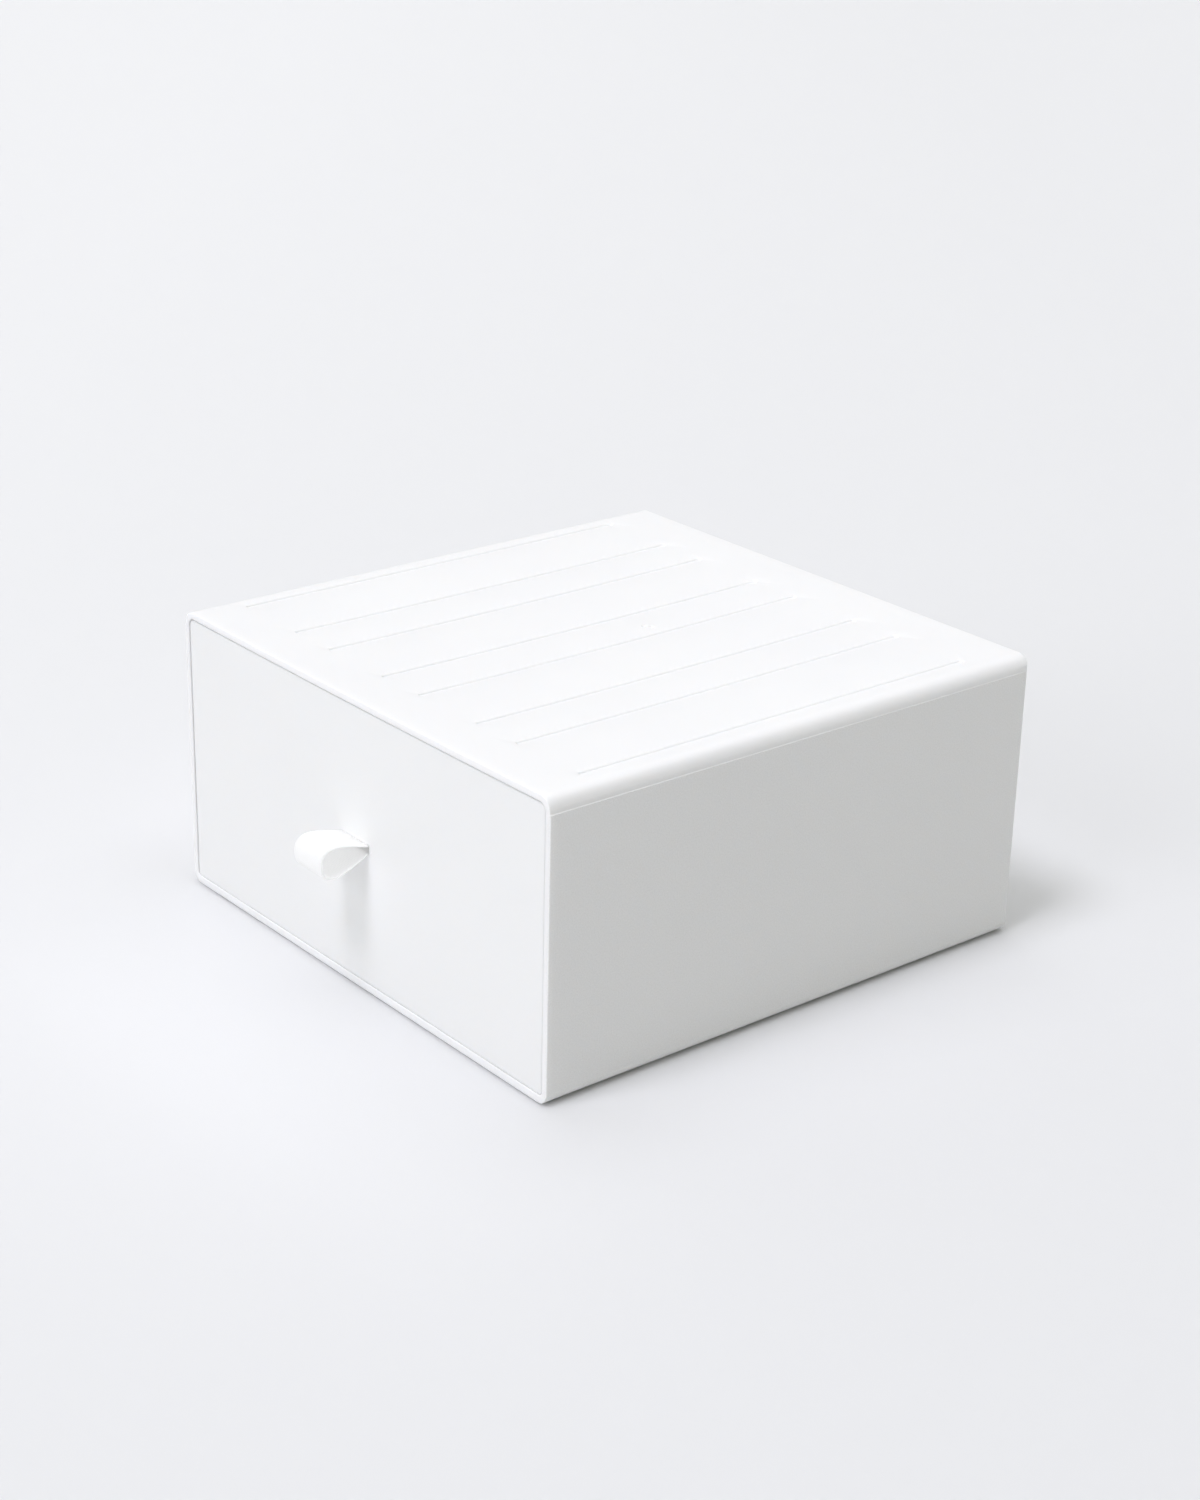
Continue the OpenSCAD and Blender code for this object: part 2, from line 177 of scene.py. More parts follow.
class DrawerSettings(bpy.types.PropertyGroup):
    """The tray with its front"""

    face_forward: FloatProperty(
        name="Face forward",
        description="How far the face stands before that of the plain drawer, closer to the rim",
        default=0.5 * MM, min=0.0, max=0.8 * MM, unit="LENGTH", precision=5,
    )
    top_rise: FloatProperty(
        name="Top rise",
        description="How much higher the ends of the face's top edge lie than its middle",
        default=0.4 * MM, min=0.0, max=0.6 * MM, unit="LENGTH", precision=5,
    )
    edge_reach: FloatVectorProperty(
        name="Edge reach",
        description="How much further the face's left and bottom edges go, closer to the rim",
        default=(0.19 * MM, 0.10 * MM), min=0.0, max=0.4 * MM,
        size=2, unit="LENGTH", precision=5,
    )
    colour: FloatVectorProperty(
        name="Colour",
        description="Colour of the drawer's plastic",
        default=(0.891, 0.894, 0.895), min=0.0, max=1.0, size=3, subtype="COLOR",
    )
    glow: FloatProperty(
        name="Glow",
        description="How far light spreads inside the plastic",
        default=1.5 * MM, min=0.0, max=10 * MM, unit="LENGTH", precision=5,
    )
    pin_colour: FloatVectorProperty(
        name="Pin colour",
        description="Colour of the plain pin that holds the ribbon",
        default=(0.74, 0.74, 0.72), min=0.0, max=1.0, size=3, subtype="COLOR",
    )


class RibbonSettings(bpy.types.PropertyGroup):
    """The woven pull"""

    width: FloatProperty(
        name="Width",
        description="Width of the ribbon",
        default=loop_box[1].x - loop_box[0].x, min=8 * MM, max=30 * MM,
        unit="LENGTH", precision=5,
    )
    thickness: FloatProperty(
        name="Thickness",
        description="Thickness of the woven band",
        default=0.6 * MM, min=0.3 * MM, max=1 * MM, unit="LENGTH", precision=5,
    )
    rise: FloatProperty(
        name="Rise",
        description="Height of the loop's crest above the middle of its slot",
        default=4.15 * MM, min=2 * MM, max=8 * MM, unit="LENGTH", precision=5,
    )
    drop: FloatProperty(
        name="Drop",
        description="Depth of the loop's belly below the middle of its slot",
        default=6.25 * MM, min=2 * MM, max=9 * MM, unit="LENGTH", precision=5,
    )
    strand: FloatProperty(
        name="Strand",
        description="Distance of each strand from the middle of the slot that it passes through",
        default=1.35 * MM, min=0.6 * MM, max=1.5 * MM, unit="LENGTH", precision=5,
    )
    pinch_gap: FloatProperty(
        name="Pinch gap",
        description="Gap between the two strands behind the wall of the drawer",
        default=0.2 * MM, min=0.05 * MM, max=1 * MM, unit="LENGTH", precision=5,
    )
    rib_pitch: FloatProperty(
        name="Rib pitch",
        description="Distance between the cross ribs of the weave",
        default=0.55 * MM, min=0.2 * MM, max=1.5 * MM, unit="LENGTH", precision=5,
    )
    colour: FloatVectorProperty(
        name="Colour",
        description="Colour of the ribbon's yarn",
        default=(0.99, 0.99, 0.985), min=0.0, max=1.0, size=3, subtype="COLOR",
    )
    # Painted glow: white light that the ribbon gives out itself, which lightens it beside its
    # plain reflection
    painted_glow: FloatProperty(
        name="Brightener",
        description="Light that the brightener in the yarn gives back beside its plain reflection",
        default=0.10, min=0.0, max=0.3,
    )
    glow: FloatProperty(
        name="Glow",
        description="How far light spreads inside the thin weave",
        default=4.5 * MM, min=0.0, max=10 * MM, unit="LENGTH", precision=5,
    )


class StudioSettings(bpy.types.PropertyGroup):
    """Floor, lights and camera"""

    camera_place: FloatVectorProperty(
        name="Camera place",
        description="Where the camera stands",
        default=(0.64893, -0.53681, 0.40500),
        size=3, subtype="TRANSLATION", unit="LENGTH", precision=5,
    )
    azimuth: FloatProperty(
        name="Azimuth",
        description="Turn of the camera round the box, from straight before the drawer",
        default=math.radians(50.373), subtype="ANGLE",
    )
    elevation: FloatProperty(
        name="Elevation",
        description="Angle at which the camera looks down",
        default=math.radians(22.386), subtype="ANGLE",
    )
    roll: FloatProperty(
        name="Roll",
        description="Tilt of the camera about its own line of sight",
        default=math.radians(-1.334), subtype="ANGLE",
    )
    lens: FloatProperty(
        name="Lens",
        description="Focal length in millimetres",
        default=64.544, min=20.0, max=200.0,
    )
    light_leans: FloatVectorProperty(
        name="Light leans",
        description="Angle of each soft light from straight above",
        default=(math.radians(10), math.radians(25), math.radians(65), math.radians(50)),
        size=4, unit="ROTATION",
    )
    light_turns: FloatVectorProperty(
        name="Light turns",
        description="Side to which each light leans: 0 is the front, 90 the left, 180 the back",
        default=(math.radians(180), 0.0, 0.0, math.radians(90)), size=4, unit="ROTATION",
    )
    light_widths: FloatVectorProperty(
        name="Light widths",
        description="Width of each soft light as it is seen from the box",
        default=(math.radians(60), math.radians(18), math.radians(40), math.radians(50)),
        size=4, unit="ROTATION",
    )
    light_strengths: FloatVectorProperty(
        name="Light strengths",
        description="Strength of each soft light",
        default=(1.15, 1.28, 0.77, 0.29), min=0.0, max=20.0, size=4,
    )
    light_colour: FloatVectorProperty(
        name="Light colour",
        description="Colour of the soft lights",
        default=(0.9885, 0.988, 1.067), min=0.0, max=2.0, size=3, subtype="COLOR",
    )
    room_light: FloatProperty(
        name="Room light",
        description="Strength of the even light from all sides",
        default=0.255, min=0.0, max=5.0,
    )
    room_colour: FloatVectorProperty(
        name="Room colour",
        description="Colour of the light from all sides",
        default=(0.98, 1.0, 0.79), min=0.0, max=1.0, size=3, subtype="COLOR",
    )
    floor_colour: FloatVectorProperty(
        name="Floor colour",
        description="Colour of the pale floor",
        default=(0.734, 0.737, 0.749), min=0.0, max=1.0, size=3, subtype="COLOR",
    )
    # Painted shade and painted light on the floor: darker on the camera's right and lighter on its
    # left, as the studio's light dims across it
    floor_painted_shade: FloatProperty(
        name="Floor fall",
        description="Share by which the floor is darker on the right, and lighter on the left",
        default=0.03, min=0.0, max=0.2,
    )
    # Width of the ramp of painted shade across the floor
    painted_shade_width: FloatProperty(
        name="Fall width",
        description="Width over which the floor goes from its light side to its dark side",
        default=0.7, min=0.1, max=5.0, unit="LENGTH",
    )
    floor_glow: FloatProperty(
        name="Floor glow",
        description="How far light spreads inside the floor, which softens the foot's shadow",
        default=10 * MM, min=0.0, max=20 * MM, unit="LENGTH", precision=5,
    )


class DrawerBoxSettings(bpy.types.PropertyGroup):
    """All the values of the box and its studio"""

    casing: PointerProperty(type=CasingSettings)
    drawer: PointerProperty(type=DrawerSettings)
    ribbon: PointerProperty(type=RibbonSettings)
    studio: PointerProperty(type=StudioSettings)


# ---- Shader helpers ----


class Wire:
    """An output socket whose sums and products add Math nodes"""

    def __init__(self, finish, socket):
        self.finish = finish
        self.socket = socket

    def maths(self, operation, first, second=0.0):
        return self.finish.node("ShaderNodeMath", {"operation": operation}, {0: first, 1: second})

    def __add__(self, other):
        return self.maths("ADD", self, other)

    def __sub__(self, other):
        return self.maths("SUBTRACT", self, other)

    def __rsub__(self, other):
        return self.maths("SUBTRACT", other, self)

    def __mul__(self, other):
        return self.maths("MULTIPLY", self, other)

    def __truediv__(self, other):
        return self.maths("DIVIDE", self, other)

    def __gt__(self, other):
        return self.maths("GREATER_THAN", self, other)

    def __lt__(self, other):
        return self.maths("LESS_THAN", self, other)

    def __abs__(self):
        return self.maths("ABSOLUTE", self)

    def wave(self):
        """A sine with one period for each 1 that the value goes up"""
        return self.maths("SINE", self * math.tau)

    __radd__ = __add__
    __rmul__ = __mul__


class Finish:
    """One material and its node tree"""

    def __init__(self, name):
        self.material = bpy.data.materials.new(name)
        self.material.use_nodes = True
        self.tree = self.material.node_tree
        self.tree.nodes.clear()

    def node(self, kind, settings=None, sockets=None, out=0):
        """Adds a node with its settings, then its socket values or links, and gives one output"""
        made = self.tree.nodes.new(kind)
        for name, value in (settings or {}).items():
            setattr(made, name, value)
        for name, value in (sockets or {}).items():
            if isinstance(value, Wire):
                self.tree.links.new(value.socket, made.inputs[name])
            else:
                made.inputs[name].default_value = value
        return Wire(self, made.outputs[out]) if made.outputs else made

    def axes(self, vector):
        """The X, Y and Z of a vector"""
        split = self.node("ShaderNodeSeparateXYZ", sockets={"Vector": vector})
        return [Wire(self, output) for output in split.socket.node.outputs]

    def noise(self, where, grain, detail=2.0):
        """Smooth random values from 0 to 1, with lumps of about the given size"""
        sockets = {"Vector": where, "Scale": 1 / grain, "Detail": detail}
        return self.node("ShaderNodeTexNoise", sockets=sockets)

    def tint(self, amount, colour, first, last):
        """A colour times a share that goes from first to last as the amount goes from 0 to 1"""
        sockets = {"Factor": amount}
        for socket, share in ((MIX_FIRST, first), (MIX_SECOND, last)):
            sockets[socket] = (*(part * share for part in colour), 1.0)
        return self.node("ShaderNodeMix", {"data_type": "RGBA"}, sockets, out=MIX_RESULT)

    def bump(self, height, depth):
        """A normal from a height that goes from 0 to 1"""
        sockets = {"Height": height, "Strength": 1.0, "Distance": depth}
        return self.node("ShaderNodeBump", sockets=sockets)

    def shader(self, sockets):
        surface = self.node("ShaderNodeBsdfPrincipled", sockets=sockets)
        self.node("ShaderNodeOutputMaterial", sockets={"Surface": surface})
        return self.material


# ---- Finishes ----


def casing_plastic(sizes):
    """White moulded plastic: smooth above the mould seam, finely grained on the sides below it,
    which carry a painted shade with a warm tint
    """
    skin = 0.8 * MM
    finish = Finish("casing_plastic")
    where = finish.node("ShaderNodeTexCoord", out="Object")
    x, _, z = finish.axes(where)
    on_side = (abs(x) > casing_box[1].x - skin) * (z < casing_box[1].z - sizes.seam_drop)
    grain = finish.noise(where, sizes.grain_size, 3.0)
    ripple = finish.noise(where, 9 * MM, 1.0)
    cloud = finish.noise(where, 40 * MM)
    speckle = (cloud - 0.5) * 0.2 + (grain - 0.5) * on_side * 1.4 + 0.5
    multiply = {"data_type": "RGBA", "blend_type": "MULTIPLY"}
    # The grained sides are multiplied by the painted side shade, which darkens and warms them
    colours = {
        "Factor": on_side,
        MIX_FIRST: finish.tint(speckle, sizes.colour, 0.93, 1.07),
        MIX_SECOND: (*sizes.painted_side_shade, 1.0),
    }
    return finish.shader({
        "Base Color": finish.node("ShaderNodeMix", multiply, colours, out=MIX_RESULT),
        "Roughness": 0.42 + on_side * 0.14 + (cloud - 0.5) * 0.06,
        "Normal": finish.bump(grain * on_side + ripple * 0.12, sizes.grain_depth),
        "Subsurface Weight": 0.7,
        "Subsurface Radius": (1.0, 0.95, 0.9),
        "Subsurface Scale": sizes.glow,
        "Specular IOR Level": 0.42,
        "IOR": 1.49,
    })


def drawer_plastic(sizes):
    """Smooth matte white plastic"""
    ripple_depth = 0.006 * MM
    finish = Finish("drawer_plastic")
    where = finish.node("ShaderNodeTexCoord", out="Object")
    fine = finish.noise(where, 0.3 * MM)
    ripple = finish.noise(where, 14 * MM, 1.0)
    cloud = finish.noise(where, 60 * MM)
    return finish.shader({
        "Base Color": finish.tint(cloud, sizes.colour, 0.988, 1.012),
        "Roughness": 0.5 + (cloud - 0.5) * 0.06,
        "Normal": finish.bump(fine * 0.25 + ripple, ripple_depth),
        "Subsurface Weight": 0.7,
        "Subsurface Radius": (1.0, 0.95, 0.9),
        "Subsurface Scale": sizes.glow,
        "Specular IOR Level": 0.4,
        "IOR": 1.49,
    })


def pin_plastic(sizes):
    """Plain pale rod, drawn along its length"""
    line_depth = 0.01 * MM
    finish = Finish("pin_plastic")
    where = finish.node("ShaderNodeTexCoord", out="Object")
    stretch = {"Vector": where, "Scale": (0.06, 1.0, 1.0)}
    lines = finish.noise(finish.node("ShaderNodeMapping", sockets=stretch), 0.15 * MM)
    return finish.shader({
        "Base Color": finish.tint(lines, sizes.pin_colour, 0.96, 1.04),
        "Roughness": 0.38 + lines * 0.1,
        "Normal": finish.bump(lines, line_depth),
    })


def ribbon_weave(sizes, length):
    """Ribbed woven ribbon: cross ribs, fine warp yarns and a plain selvedge on each edge, with a
    painted glow that lightens it
    """
    yarn_pitch = 0.22 * MM
    selvedge_width = 0.9 * MM
    weave_depth = 0.06 * MM
    finish = Finish("ribbon_weave")
    uv = finish.node("ShaderNodeTexCoord", out="UV")
    across, along, _ = finish.axes(uv)
    wobble = finish.noise(uv, 0.12)
    ribs = (along * round(length / sizes.rib_pitch) + wobble * 0.25).wave()
    yarns = (across * round(sizes.width / yarn_pitch)).wave()
    inner = abs(across - 0.5) < 0.5 - selvedge_width / sizes.width
    cloth = (ribs * 0.5 + 0.5) * (0.7 + yarns * 0.15)
    selvedge = 0.55 + yarns * 0.3
    height = cloth * inner + selvedge * (1 - inner)
    return finish.shader({
        "Base Color": finish.tint(height, sizes.colour, 0.97, 1.0),
        "Roughness": 0.62 - height * 0.1,
        "Normal": finish.bump(height, weave_depth),
        "Subsurface Weight": 1.0,
        "Subsurface Radius": (1.0, 1.0, 0.95),
        "Subsurface Scale": sizes.glow,
        # Painted glow: the ribbon gives out even white light of its own, which lightens it, its
        # shaded inside too
        "Emission Color": (1.0, 1.0, 1.0, 1.0),
        "Emission Strength": sizes.painted_glow,
        "Sheen Weight": 0.25,
        "Sheen Roughness": 0.4,
        "Specular IOR Level": 0.35,
    })


def floor_paint(sizes):
    """Matte pale paint, with painted light and shade that make it a little lighter on the camera's
    left than on its right
    """
    finish = Finish("studio_floor")
    where = finish.node("ShaderNodeTexCoord", out="Object")
    x, y, _ = finish.axes(where)
    cloud = finish.noise(where, 0.5)
    # Painted shade across the floor: a ramp from light on the camera's left to dark on its right,
    # with a little random tone
    aside = x * math.cos(sizes.azimuth) + y * math.sin(sizes.azimuth)
    fall = finish.node("ShaderNodeClamp", sockets={0: aside / sizes.painted_shade_width + 0.5})
    shade = fall + (cloud - 0.5) * 0.1
    light, dark = 1 + sizes.floor_painted_shade, 1 - sizes.floor_painted_shade
    return finish.shader({
        "Base Color": finish.tint(shade, sizes.floor_colour, light, dark),
        "Roughness": 0.8,
        "Subsurface Weight": 1.0,
        "Subsurface Radius": (1.0, 0.985, 0.96),
        "Subsurface Scale": sizes.floor_glow,
    })


# ---- Modelling helpers ----


def pick(piece):
    """Makes a piece the only one that is selected"""
    bpy.ops.object.select_all(action="DESELECT")
    piece.select_set(True)
    bpy.context.view_layer.objects.active = piece


def open_mesh(piece):
    """Opens a piece in edit mode with nothing selected"""
    pick(piece)
    bpy.ops.object.mode_set(mode="EDIT")
    bpy.ops.mesh.select_mode(type="FACE")
    bpy.ops.mesh.select_all(action="DESELECT")


def close_mesh():
    bpy.ops.object.mode_set(mode="OBJECT")


def select_where(piece, kind, wanted):
    """Selects the faces or the edges of an open piece that pass a test"""
    bpy.ops.mesh.select_mode(type=kind)
    mesh = bmesh.from_edit_mesh(piece.data)
    for part in mesh.faces if kind == "FACE" else mesh.edges:
        part.select_set(wanted(part))
    mesh.select_flush_mode()
    bmesh.update_edit_mesh(piece.data)


def move_corners(piece, move):
    """Lets a function move each corner of an open piece"""
    mesh = bmesh.from_edit_mesh(piece.data)
    for corner in mesh.verts:
        move(corner.co)
    bmesh.update_edit_mesh(piece.data)


def cut_square(piece, wanted, axis, places):
    """Cuts the wanted faces along planes that are square to one axis"""
    along = Vector((0, 0, 0))
    along[axis] = 1
    for place in places:
        select_where(piece, "FACE", wanted)
        bpy.ops.mesh.bisect(plane_co=along * place, plane_no=along)


def steps(low, high, width):
    """Places from low to high, about one width apart and the same distance from both ends"""
    count = round((high - low) / width)
    return [low + (number + 0.5) * (high - low) / count for number in range(count)]


def copy_of_node(node, name):
    """A piece of its own with the mesh of a frame node, merged and with its flat faces whole"""
    pick(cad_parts[node])
    bpy.ops.object.duplicate()
    piece = bpy.context.active_object
    piece.name = name
    piece.data.name = name
    piece.parent = None
    for key in list(piece.keys()):
        del piece[key]
    piece.data.materials.clear()
    bpy.ops.mesh.customdata_custom_splitnormals_clear()
    open_mesh(piece)
    bpy.ops.mesh.select_all(action="SELECT")
    bpy.ops.mesh.remove_doubles(threshold=0.002 * MM)
    bpy.ops.mesh.dissolve_limited(angle_limit=math.radians(0.2))
    close_mesh()
    return piece


def finish_piece(piece, material, body, angle=30.0):
    """Smooths a piece, dresses it and lets it move with its body"""
    pick(piece)
    bpy.ops.object.shade_smooth_by_angle(angle=math.radians(angle))
    piece.data.materials.clear()
    piece.data.materials.append(material)
    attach(piece, body)


# ---- Pieces ----


class DRAWERBOX_OT_casing(bpy.types.Operator):
    """Makes the casing with its slightly sunken top and the mould seam along its sides"""

    bl_idname = "drawerbox.casing"
    bl_label = "Casing"
    bl_options = {"REGISTER", "UNDO"}

    def execute(self, context):
        sizes = context.scene.drawer_box.casing
        shell = copy_of_node("casing", "casing_shell")
        low, high = casing_box
        seam_z = high.z - sizes.seam_drop
        reach = high.x - sizes.sag_margin

        def in_top(face):
            return all(corner.co.z > self.rim_z(sizes) for corner in face.verts)

        def in_side(face):
            return all(abs(corner.co.x) > high.x - SIDE_SKIN for corner in face.verts)

        open_mesh(shell)
        select_where(shell, "EDGE", self.on_groove_edge)
        bpy.ops.mesh.bevel(offset=sizes.groove_round, segments=3, affect="EDGES")
        cut_square(shell, in_top, 0, steps(-reach, reach, TOP_CUT))
        cut_square(shell, in_top, 1, steps(low.y, high.y, TOP_CUT))
        cut_square(shell, in_side, 2, (seam_z, seam_z + SEAM_STRIP))
        move_corners(shell, lambda place: self.settle(sizes, place))
        close_mesh()
        finish_piece(shell, casing_plastic(sizes), "casing")
        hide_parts("casing")
        return {"FINISHED"}

    def rim_z(self, sizes):
        """Height above which everything belongs to the top"""
        return casing_box[1].z - 2 * sizes.sag_margin

    def settle(self, sizes, place):
        """Moves one corner, for the floor, the ledge of the sides, the gate marks and the top"""
        low, high = casing_box
        rail_height = high.z - CASING_HEIGHT
        floor_z = rail_height + CASING_WALL
        behind = (place.y - low.y) / (high.y - low.y)
        if rail_height - SLACK < place.z < floor_z:
            place.z -= sizes.base_drop * (floor_z - place.z) / (floor_z - rail_height)
        if place.z > high.z - sizes.seam_drop + SLACK:
            in_wall = max(0.0, (abs(place.x) - high.x) / LEDGE_BAND + 1)
            ledge = sizes.seam_ledge * (1 - sizes.ledge_fade * behind)
            place.x -= math.copysign(ledge * in_wall, place.x)
        if self.in_mark(place):
            place.z -= (sizes.mark_stretch - 1) * (high.z - place.z)
        if place.z > self.rim_z(sizes):
            across = place.x / (high.x - sizes.sag_margin)
            depth = sizes.front_sag * (1 - behind) + sizes.middle_sag * 4 * behind * (1 - behind)
            place.z -= max(0.0, 1 - across * across) * depth

    def in_mark(self, place):
        """Whether a point of the top lies in one of the two gate marks"""
        near = any(math.dist(place.xy, centre) < MARK_REACH for centre in MARK_PLACES)
        return near and place.z > casing_box[1].z - MARK_DEPTH

    def on_groove_edge(self, edge):
        """Whether an edge lies between the top face and the leaning side of a groove"""
        at_top = all(corner.co.z > casing_box[1].z - SLACK for corner in edge.verts)
        return at_top and any(0.1 < face.normal.z < 0.7 for face in edge.link_faces)


class DRAWERBOX_OT_drawer(bpy.types.Operator):
    """Makes the drawer with its face close behind the rim, and dresses its pin"""

    bl_idname = "drawerbox.drawer"
    bl_label = "Drawer and Pin"
    bl_options = {"REGISTER", "UNDO"}

    def execute(self, context):
        sizes = context.scene.drawer_box.drawer
        tray = copy_of_node("drawer", "drawer_tray")
        low, high = drawer_box

        def in_face(face):
            return all(corner.co.y < low.y + FACE_BAND for corner in face.verts)

        open_mesh(tray)
        cut_square(tray, in_face, 0, steps(low.x, high.x, FACE_CUT))
        move_corners(tray, lambda place: self.fit(sizes, place))
        close_mesh()
        finish_piece(tray, drawer_plastic(sizes), "drawer")
        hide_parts("drawer")
        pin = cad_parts["loop_pin"].data
        pin.materials.clear()
        pin.materials.append(pin_plastic(sizes))
        return {"FINISHED"}

    def fit(self, sizes, place):
        """Moves one corner of the face closer to the rim and to the sunken top"""
        low, high = drawer_box
        if place.y < low.y + FACE_BAND:
            place.y -= sizes.face_forward
            at_top = max(0.0, (place.z - high.z) / RISE_BAND + 1)
            place.z += sizes.top_rise * at_top * (place.x / high.x) ** 2
            if place.x < low.x + EDGE_BAND:
                place.x -= sizes.edge_reach[0]
            if place.z < low.z + EDGE_BAND:
                place.z -= sizes.edge_reach[1]


class DRAWERBOX_OT_ribbon(bpy.types.Operator):
    """Weaves the ribbon: out through its slot, round the loop, back in and round the pin"""

    bl_idname = "drawerbox.ribbon"
    bl_label = "Ribbon Pull"
    bl_options = {"REGISTER", "UNDO"}

    def execute(self, context):
        sizes = context.scene.drawer_box.ribbon
        route = self.route(sizes)
        lengths = [(after - before).length for before, after in zip(route, route[1:] + route[:1])]
        length = sum(lengths)
        bpy.ops.object.select_all(action="DESELECT")
        bpy.ops.mesh.primitive_grid_add(x_subdivisions=12, y_subdivisions=len(route), size=1.0)
        ribbon = bpy.context.active_object
        ribbon.name = "ribbon_pull"
        ribbon.data.name = "ribbon_pull"
        self.lay_along(ribbon, route, lengths, sizes)
        open_mesh(ribbon)
        bpy.ops.mesh.select_all(action="SELECT")
        bpy.ops.mesh.remove_doubles(threshold=SLACK)
        bpy.ops.mesh.normals_make_consistent(inside=False)
        close_mesh()
        self.add_modifier(
            ribbon, "SOLIDIFY", thickness=sizes.thickness, offset=0.0, use_even_offset=True,
        )
        self.add_modifier(
            ribbon, "BEVEL", width=0.16 * MM, segments=2,
            limit_method="ANGLE", angle_limit=math.radians(60),
        )
        finish_piece(ribbon, ribbon_weave(sizes, length), "drawer", angle=50.0)
        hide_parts("pull_loop")
        return {"FINISHED"}

    def add_modifier(self, piece, kind, **settings):
        added = piece.modifiers.new(kind.title(), kind)
        for name, value in settings.items():
            setattr(added, name, value)
        bpy.ops.object.modifier_apply(modifier=added.name)

    def lay_along(self, ribbon, route, lengths, sizes):
        """Puts each row of the grid on its point of the route"""
        rows = len(route)
        places = [0.0]
        for part in lengths:
            places.append(places[-1] + part)
        grid = ribbon.data
        row_of = [min(rows, max(0, round((corner.co.y + 0.5) * rows))) for corner in grid.vertices]
        for corner, row in zip(grid.vertices, row_of):
            point = route[row % rows]
            corner.co = (corner.co.x * sizes.width, point.x, point.y)
        uv = grid.uv_layers.active.data
        for corner in grid.loops:
            row = row_of[corner.vertex_index]
            uv[corner.index].uv[1] = places[row] / places[-1]

    def route(self, sizes):
        """The ribbon's middle line seen from the side, as (y, z) points of one closed ring"""
        face_y = drawer_box[0].y - bpy.context.scene.drawer_box.drawer.face_forward
        slot_z = (pin_box[0].z + pin_box[1].z) / 2
        pin_y = (pin_box[0].y + pin_box[1].y) / 2 - face_y
        pin_r = (pin_box[1].z - pin_box[0].z) / 2
        half = sizes.thickness / 2
        reach = face_y - loop_box[0].y - half
        wall = pin_y - PIN_SETBACK
        strand = sizes.strand
        pinch = half + sizes.pinch_gap / 2
        ring = pin_r + PIN_GAP + half
        rise = sizes.rise
        drop = sizes.drop
        crest = (-0.7 * reach, rise)
        nose = (-reach, -0.03 * reach)
        belly = (-0.72 * reach, -drop)
        inside = wall + PIN_SETBACK / 2
        flare = pin_y - PIN_SETBACK * 0.4
        upper, lower = (0, strand), (0, -strand)
        route = [
            *self.curve(upper, (-0.26 * reach, 0.63 * rise), (-0.5 * reach, rise), crest, 16),
            *self.curve(crest, (-0.91 * reach, rise), (-reach, 0.6 * rise), nose, 12),
            *self.curve(nose, (-1.005 * reach, -0.62 * drop), (-0.93 * reach, -drop), belly, 12),
            *self.curve(belly, (-0.55 * reach, -drop), (-0.2 * reach, -0.45 * drop), lower, 16),
            *self.curve(lower, (0.35 * wall, -strand), (0.5 * wall, -pinch), (wall, -pinch), 6),
            *self.curve((wall, -pinch), (inside, -pinch), (flare, -ring), (pin_y, -ring), 8),
            *self.half_turn(pin_y, ring, 20),
            *self.curve((pin_y, ring), (flare, ring), (inside, pinch), (wall, pinch), 8),
            *self.curve((wall, pinch), (0.5 * wall, pinch), (0.35 * wall, strand), upper, 6),
        ]
        return [Vector((face_y + y, slot_z + z)) for y, z in route]

    def half_turn(self, middle, radius, count):
        """Points round the back of the pin from below to above, without the last one"""
        angles = (math.pi * (number / count - 0.5) for number in range(count))
        return [(middle + radius * math.cos(a), radius * math.sin(a)) for a in angles]

    def curve(self, start, first, second, end, count):
        """Points of one cubic stretch, without its last one"""
        handles = (start, first, second, end)
        points = []
        for number in range(count):
            t = number / count
            weights = ((1 - t) ** 3, 3 * (1 - t) ** 2 * t, 3 * (1 - t) * t * t, t ** 3)
            points.append([sum(w * p[axis] for w, p in zip(weights, handles)) for axis in (0, 1)])
        return points


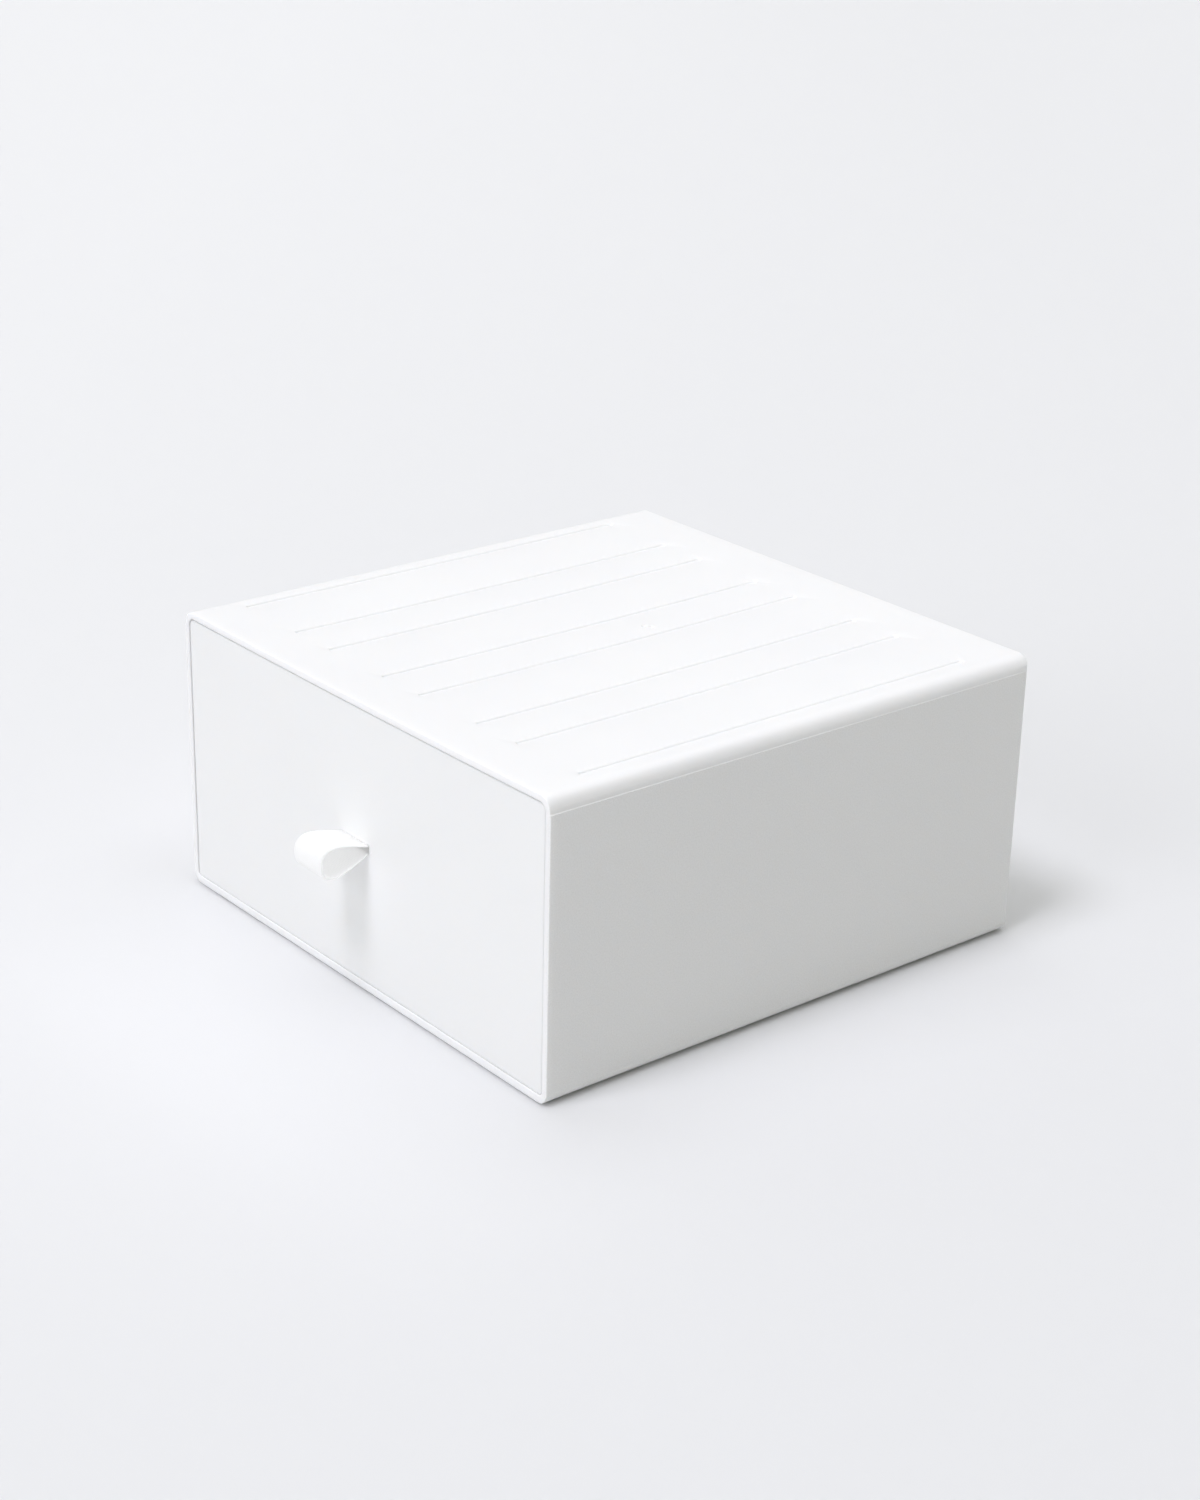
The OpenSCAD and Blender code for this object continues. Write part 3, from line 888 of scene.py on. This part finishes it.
class DRAWERBOX_OT_studio(bpy.types.Operator):
    """Lays the floor, hangs the lights and places the camera"""

    bl_idname = "drawerbox.studio"
    bl_label = "Studio"
    bl_options = {"REGISTER", "UNDO"}

    def execute(self, context):
        sizes = context.scene.drawer_box.studio
        self.floor(sizes)
        self.room(context.scene, sizes)
        self.soft_lights(sizes)
        self.camera(context.scene, sizes)
        context.scene.view_settings.view_transform = "Standard"
        return {"FINISHED"}

    def floor(self, sizes):
        bpy.ops.object.select_all(action="DESELECT")
        bpy.ops.mesh.primitive_grid_add(x_subdivisions=8, y_subdivisions=8, size=16.0)
        floor = bpy.context.active_object
        floor.name = "studio_floor"
        floor.data.materials.append(floor_paint(sizes))

    def room(self, scene, sizes):
        world = bpy.data.worlds.new("studio_room")
        world.use_nodes = True
        back = world.node_tree.nodes["Background"]
        back.inputs["Color"].default_value = (*sizes.room_colour, 1.0)
        back.inputs["Strength"].default_value = sizes.room_light
        scene.world = world

    def soft_lights(self, sizes):
        """Hangs the lights, each at its own lean and turn"""
        for lean, turn, width, strength in zip(
            sizes.light_leans, sizes.light_turns, sizes.light_widths, sizes.light_strengths
        ):
            away = math.sin(lean)
            place = (-away * math.sin(turn), -away * math.cos(turn), math.cos(lean))
            bpy.ops.object.light_add(type="SUN", location=place, rotation=(lean, 0, -turn))
            light = bpy.context.active_object
            light.name = "soft_light"
            light.data.energy = strength
            light.data.angle = width
            light.data.color = sizes.light_colour

    def camera(self, scene, sizes):
        azimuth, elevation, roll = sizes.azimuth, sizes.elevation, sizes.roll
        forward = Vector((
            -math.sin(azimuth) * math.cos(elevation),
            math.cos(azimuth) * math.cos(elevation),
            -math.sin(elevation),
        ))
        level = Vector((math.cos(azimuth), math.sin(azimuth), 0))
        plumb = forward.cross(level)
        right = math.cos(roll) * level + math.sin(roll) * plumb
        down = -math.sin(roll) * level + math.cos(roll) * plumb
        turn = Matrix((right, -down, -forward)).transposed()
        bpy.ops.object.camera_add(location=sizes.camera_place, rotation=turn.to_euler())
        camera = bpy.context.active_object
        camera.name = "studio_camera"
        camera.data.sensor_width = 36.0
        camera.data.lens = sizes.lens
        camera.data.clip_start = 0.01
        camera.data.clip_end = 50.0
        scene.camera = camera


class DRAWERBOX_PT_panel(bpy.types.Panel):
    """The box's pieces and their values"""

    bl_idname = "DRAWERBOX_PT_panel"
    bl_label = "Drawer Box"
    bl_space_type = "VIEW_3D"
    bl_region_type = "UI"
    bl_category = "Drawer Box"

    def draw(self, context):
        settings = context.scene.drawer_box
        for operator, group in (
            ("drawerbox.casing", settings.casing),
            ("drawerbox.drawer", settings.drawer),
            ("drawerbox.ribbon", settings.ribbon),
            ("drawerbox.studio", settings.studio),
        ):
            box = self.layout.box()
            box.operator(operator)
            for name in group.__annotations__:
                box.prop(group, name)


CLASSES = (
    CasingSettings,
    DrawerSettings,
    RibbonSettings,
    StudioSettings,
    DrawerBoxSettings,
    DRAWERBOX_OT_casing,
    DRAWERBOX_OT_drawer,
    DRAWERBOX_OT_ribbon,
    DRAWERBOX_OT_studio,
    DRAWERBOX_PT_panel,
)


def register():
    for kind in CLASSES:
        bpy.utils.register_class(kind)
    bpy.types.Scene.drawer_box = PointerProperty(type=DrawerBoxSettings)


def unregister():
    del bpy.types.Scene.drawer_box
    for kind in reversed(CLASSES):
        bpy.utils.unregister_class(kind)


def main():
    register()
    bpy.ops.drawerbox.casing()
    bpy.ops.drawerbox.drawer()
    bpy.ops.drawerbox.ribbon()
    bpy.ops.drawerbox.studio()


if __name__ == "__main__":
    main()
